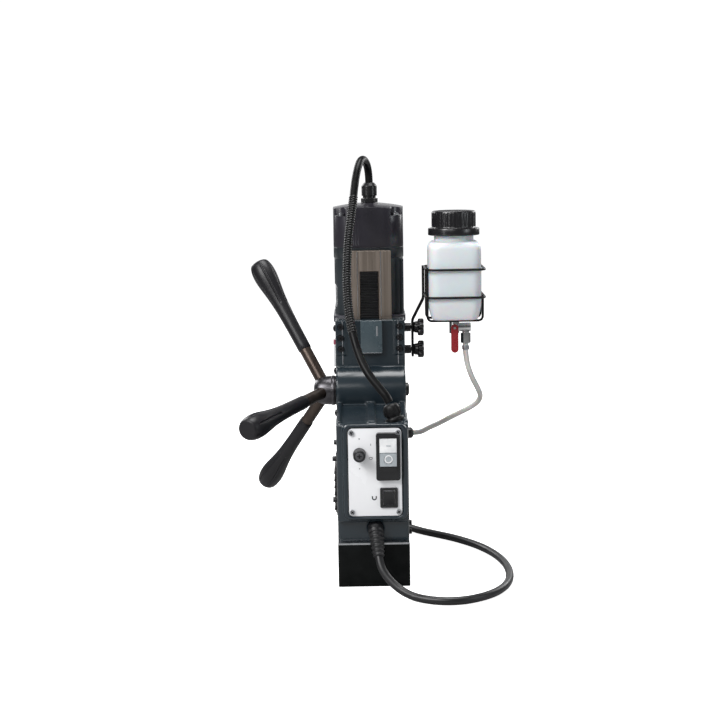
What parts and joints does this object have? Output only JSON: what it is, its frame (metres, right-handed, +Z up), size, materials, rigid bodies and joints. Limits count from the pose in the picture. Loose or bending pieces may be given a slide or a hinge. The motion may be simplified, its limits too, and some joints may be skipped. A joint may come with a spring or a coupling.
{
  "type": "magnetic drill press",
  "caption": "Magnetic drill press: electromagnet base, cast frame with control panel, geared motor and spindle on a rack-fed slide, feed handle and coolant bottle.",
  "frame": {"origin": "centre of the magnet's lower face", "axes": "+Z up, -Y towards the control panel side, +Y towards the spindle, -X towards the feed handle"},
  "size_m": [0.3037, 0.5535, 0.476],
  "materials": {
    "magnet_black": "satin black paint on steel",
    "copper": "enamelled copper winding",
    "potting": "cast black resin",
    "bare_steel": "machined bare steel",
    "frame_paint": "gloss dark blue-grey paint on cast metal",
    "brass": "machined brass",
    "zinc_steel": "zinc plated steel",
    "black_steel": "black oxide steel",
    "grey_paint": "satin blue-grey paint",
    "black_plastic": "moulded black plastic",
    "panel_white": "white painted plate",
    "board": "green circuit board",
    "bronze": "sintered bronze",
    "black_rubber": "black rubber",
    "plug_rubber": "moulded rubber plug",
    "lead_wrap": "black spiral wrap",
    "dark_steel": "polished dark steel",
    "rod_steel": "browned steel",
    "black_gloss": "gloss black plastic",
    "slide_steel": "brushed bronze-brown slide",
    "motor_paint": "satin dark grey paint",
    "cap_plastic": "gloss dark grey plastic",
    "clear_hose": "translucent grey hose",
    "chrome": "chrome plated brass",
    "milky_plastic": "milky translucent plastic",
    "wire_black": "gloss black coated wire",
    "button_white": "white plastic",
    "button_grey": "grey plastic",
    "red_plastic": "dark red plastic"
  },
  "bodies": {
    "frame": {"magnet_body": "magnet_black", "magnet_coil": "copper", "magnet_potting": "potting", "magnet_top_plate": "bare_steel", "frame_casting": "frame_paint", "guide_strips": "bare_steel", "gib_strip": "brass", "gib_screws": "zinc_steel", "guide_bolts": "black_steel", "stop_block": "grey_paint", "vent_cover": "black_plastic", "control_panel": "panel_white", "panel_screws": "zinc_steel", "circuit_board": "board", "fuse_holder": "black_plastic", "switch_housing": "black_plastic", "rocker_housing": "black_plastic", "pinion_bushes": "bronze", "pinion_end_cap": "black_plastic", "mains_gland": "black_plastic", "mains_boot": "black_rubber", "mains_cable": "black_rubber", "cable_hank": "black_rubber", "cable_tie": "black_plastic", "mains_plug": "plug_rubber", "lead_gland_lower": "black_plastic", "motor_lead": "lead_wrap"},
    "handle": {"pinion_shaft": "bare_steel", "handle_hub": "dark_steel", "handle_rods": "rod_steel", "handle_grips": "black_gloss"},
    "carriage": {"slide_plate": "slide_steel", "rack": "bare_steel", "gearbox_housing": "frame_paint", "gearbox_cover": "black_plastic", "motor_shell": "motor_paint", "motor_cap": "cap_plastic", "cap_screws": "zinc_steel", "motor_field": "copper", "brush_holders": "brass", "ball_bearings": "bare_steel", "lead_gland_upper": "black_plastic", "coolant_ring": "black_plastic", "coolant_hose": "clear_hose", "valve_body": "chrome", "bottle": "milky_plastic", "bottle_basket": "wire_black", "bracket_nuts": "zinc_steel"},
    "start": {"start_button": "button_white"},
    "stop": {"stop_button": "button_grey"},
    "rocker": {"magnet_rocker": "black_plastic"},
    "fuse": {"fuse_cap": "black_plastic"},
    "knob_upper": {"star_knob_upper": "black_gloss"},
    "knob_lower": {"star_knob_lower": "black_gloss"},
    "lever": {"valve_lever": "red_plastic"},
    "cap": {"bottle_cap": "black_gloss"},
    "rotor": {"armature": "copper"},
    "gear_shaft": {"intermediate_shaft": "bare_steel"},
    "drill_spindle": {"spindle": "bare_steel", "arbor_screws": "black_steel"}
  },
  "joints": [
    {"name": "feed_slide", "type": "slide", "parent": "frame", "child": "carriage", "axis": [0, 0, 1], "range_m": [-0.11, 0], "deforming": ["motor_lead"]},
    {"name": "feed_handle", "type": "hinge", "parent": "frame", "child": "handle", "pos_m": [0, 0.068, 0.197], "axis": [1, 0, 0], "range_deg": [-526, 0.5]},
    {"name": "start_press", "type": "slide", "parent": "frame", "child": "start", "axis": [0, 1, 0], "range_m": [0, 0.003], "stiffness_N_per_m": 400, "springref_m": -0.002},
    {"name": "stop_press", "type": "slide", "parent": "frame", "child": "stop", "axis": [0, 1, 0], "range_m": [0, 0.003], "stiffness_N_per_m": 400, "springref_m": -0.002},
    {"name": "rocker_tilt", "type": "hinge", "parent": "frame", "child": "rocker", "pos_m": [0.0174, -0.079, 0.1014], "axis": [1, 0, 0], "range_deg": [-10, 10]},
    {"name": "fuse_twist", "type": "hinge", "parent": "frame", "child": "fuse", "pos_m": [-0.0146, -0.081, 0.151], "axis": [0, -1, 0], "range_deg": [-45, 0]},
    {"name": "knob_upper_turn", "type": "hinge", "parent": "carriage", "child": "knob_upper", "pos_m": [0.06, 0.11, 0.2668], "axis": [1, 0, 0], "continuous": true},
    {"name": "knob_lower_turn", "type": "hinge", "parent": "carriage", "child": "knob_lower", "pos_m": [0.06, 0.11, 0.2395], "axis": [1, 0, 0], "continuous": true},
    {"name": "valve_turn", "type": "hinge", "parent": "carriage", "child": "lever", "pos_m": [0.101, 0.063, 0.271], "axis": [0, 1, 0], "range_deg": [-90, 0]},
    {"name": "cap_lift", "type": "slide", "parent": "carriage", "child": "cap", "axis": [0, 0, 1], "range_m": [0, 0.045]},
    {"name": "spindle_turn", "type": "hinge", "parent": "carriage", "child": "drill_spindle", "pos_m": [0, 0.142, 0.18], "axis": [0, 0, 1], "continuous": true},
    {"name": "gear_turn", "type": "hinge", "parent": "carriage", "child": "gear_shaft", "pos_m": [0, 0.1146, 0.24], "axis": [0, 0, 1], "continuous": true},
    {"name": "rotor_turn", "type": "hinge", "parent": "carriage", "child": "rotor", "pos_m": [0, 0.136, 0.32], "axis": [0, 0, 1], "continuous": true}
  ],
  "couplings": [
    {"joint": "feed_handle", "follows": "feed_slide", "rad_per_m": 83.333},
    {"joint": "gear_turn", "follows": "spindle_turn", "ratio": -3.2143},
    {"joint": "rotor_turn", "follows": "spindle_turn", "ratio": 11.571}
  ]
}
